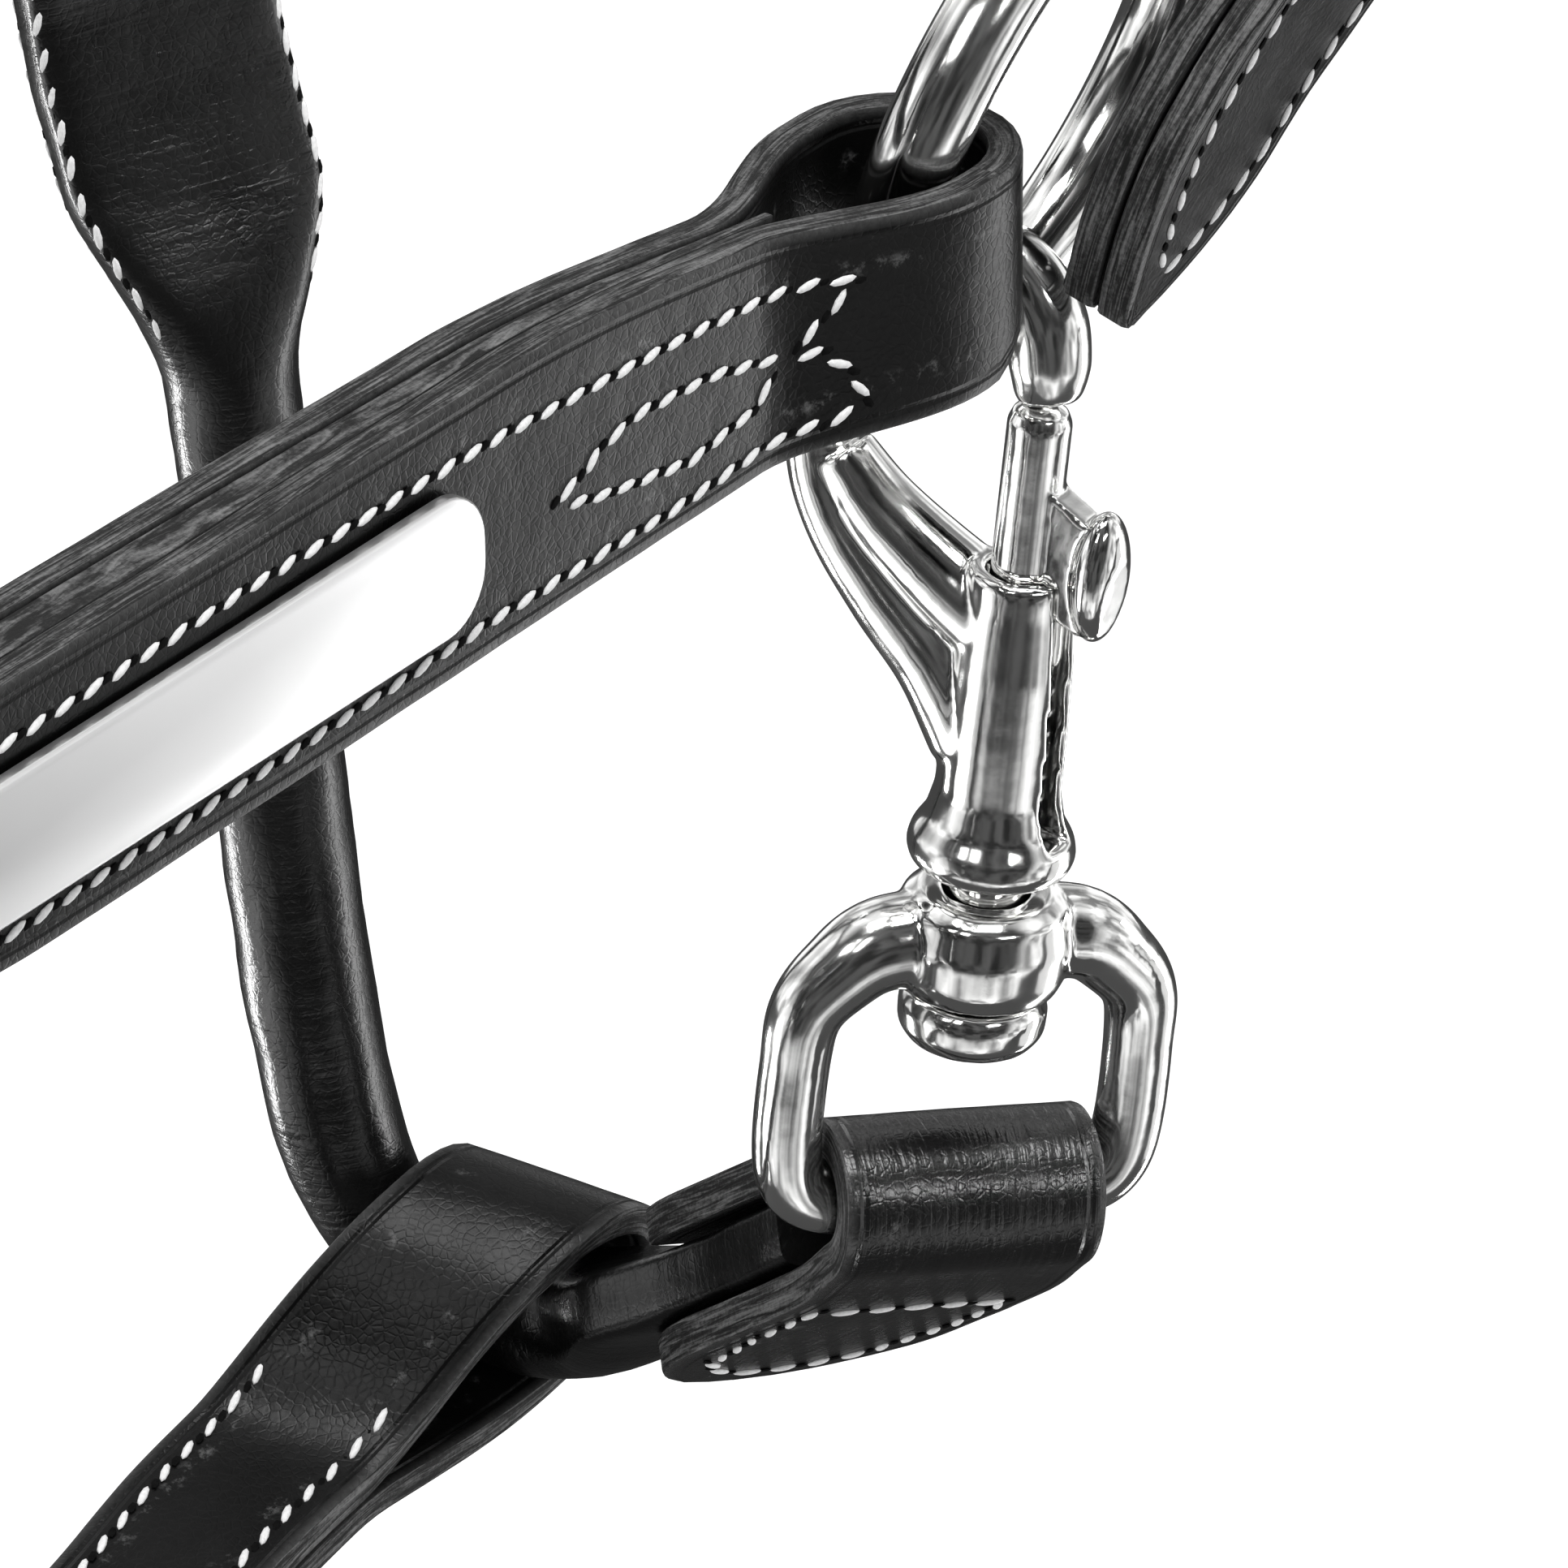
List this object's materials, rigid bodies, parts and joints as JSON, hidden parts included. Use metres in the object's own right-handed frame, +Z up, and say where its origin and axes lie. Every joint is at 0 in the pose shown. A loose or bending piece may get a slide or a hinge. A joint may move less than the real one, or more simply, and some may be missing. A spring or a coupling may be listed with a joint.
{
  "type": "horse halter",
  "caption": "Leather head halter with noseband, cheeks, buckled crown and chin straps, rolled throat strap, welded rings and a swivel bolt snap; its rings, bolt, swivel and tongues move.",
  "frame": {"origin": "underside of the crown strap at the poll, where the halter rests behind the horse's ears", "axes": "+Z up; +X from the nose back to the poll; +Y to the off (right) side, so the near side with the buckles and the snap is at -Y"},
  "size_m": [0.3892, 0.1763, 0.3616],
  "materials": {
    "leather": "black bridle leather, satin",
    "rolled_leather": "black rolled leather, satin",
    "nickel": "polished nickel plate",
    "plate_metal": "bright, blank",
    "spring_steel": "bare"
  },
  "bodies": {
    "straps": {"chin_buckle_frame": "nickel", "chin_chape": "leather", "chin_keeper": "leather", "crown_buckle_frame": "nickel", "crown_fixed_keeper": "leather", "crown_lining": "leather", "crown_strap": "leather", "jaw_strap": "leather", "name_plate": "plate_metal", "near_cheek_filler": "leather", "near_cheek_strap": "leather", "near_chin_strap": "leather", "near_crown_chape": "leather", "noseband": "leather", "noseband_lining": "leather", "off_cheek_filler": "leather", "off_cheek_strap": "leather", "off_chin_strap": "leather", "throat_chape": "leather", "throat_strap": "rolled_leather"},
    "near_upper_ring": {"near_upper_ring": "nickel"},
    "off_upper_ring": {"off_upper_ring": "nickel"},
    "near_nose_ring": {"near_nose_ring": "nickel"},
    "off_nose_ring": {"off_nose_ring": "nickel"},
    "lead_ring": {"lead_ring": "nickel"},
    "eye": {"snap_eye": "nickel"},
    "snap": {"snap_body": "nickel", "snap_spring": "spring_steel"},
    "bolt": {"snap_bolt": "nickel"},
    "crown_tongue": {"crown_buckle_tongue": "nickel"},
    "chin_tongue": {"chin_buckle_tongue": "nickel"},
    "keeper": {"crown_running_keeper": "leather"}
  },
  "joints": [
    {"name": "near_upper_ring_turn", "type": "hinge", "parent": "straps", "child": "near_upper_ring", "pos_m": [-0.1338, -0.0539, -0.1972], "axis": [0.0749, -0.9518, -0.2974], "continuous": true},
    {"name": "off_upper_ring_turn", "type": "hinge", "parent": "straps", "child": "off_upper_ring", "pos_m": [-0.138, 0.047, -0.158], "axis": [0.2549, 0.9513, -0.1737], "continuous": true},
    {"name": "near_nose_ring_turn", "type": "hinge", "parent": "straps", "child": "near_nose_ring", "pos_m": [-0.34607, -0.04595, -0.20287], "axis": [0, 1, 0], "continuous": true},
    {"name": "off_nose_ring_turn", "type": "hinge", "parent": "straps", "child": "off_nose_ring", "pos_m": [-0.34607, 0.04595, -0.18588], "axis": [0, 1, 0], "continuous": true},
    {"name": "lead_ring_turn", "type": "hinge", "parent": "straps", "child": "lead_ring", "pos_m": [-0.3463, 0, -0.318], "axis": [0, 0, 1], "continuous": true},
    {"name": "snap_swing", "type": "hinge", "parent": "straps", "child": "eye", "pos_m": [-0.13704, -0.04752, -0.30882], "axis": [0.7631, -0.64, -0.0896], "range_deg": [-0.15, 1.5]},
    {"name": "snap_swivel", "type": "hinge", "parent": "eye", "child": "snap", "pos_m": [-0.1357, -0.04958, -0.28264], "axis": [0.051, -0.0786, 0.9956], "range_deg": [-15, 15]},
    {"name": "bolt_slide", "type": "slide", "parent": "snap", "child": "bolt", "axis": [-0.051, 0.0786, -0.9956], "range_m": [0, 0.009], "stiffness_N_per_m": 350, "springref_m": -0.008, "deforming": ["snap_spring"]},
    {"name": "crown_tongue_lift", "type": "hinge", "parent": "straps", "child": "crown_tongue", "pos_m": [-0.07178, -0.08092, -0.13766], "axis": [0.7252, 0.2567, -0.6389], "range_deg": [0, 4]},
    {"name": "chin_tongue_lift", "type": "hinge", "parent": "straps", "child": "chin_tongue", "pos_m": [-0.34621, -0.03804, -0.26246], "axis": [-1, -0.0005, 0.0025], "range_deg": [0, 4]},
    {"name": "running_keeper_slide", "type": "slide", "parent": "straps", "child": "keeper", "axis": [-0.6861, 0.3463, -0.6397], "range_m": [-0.008, 0.005]}
  ]
}
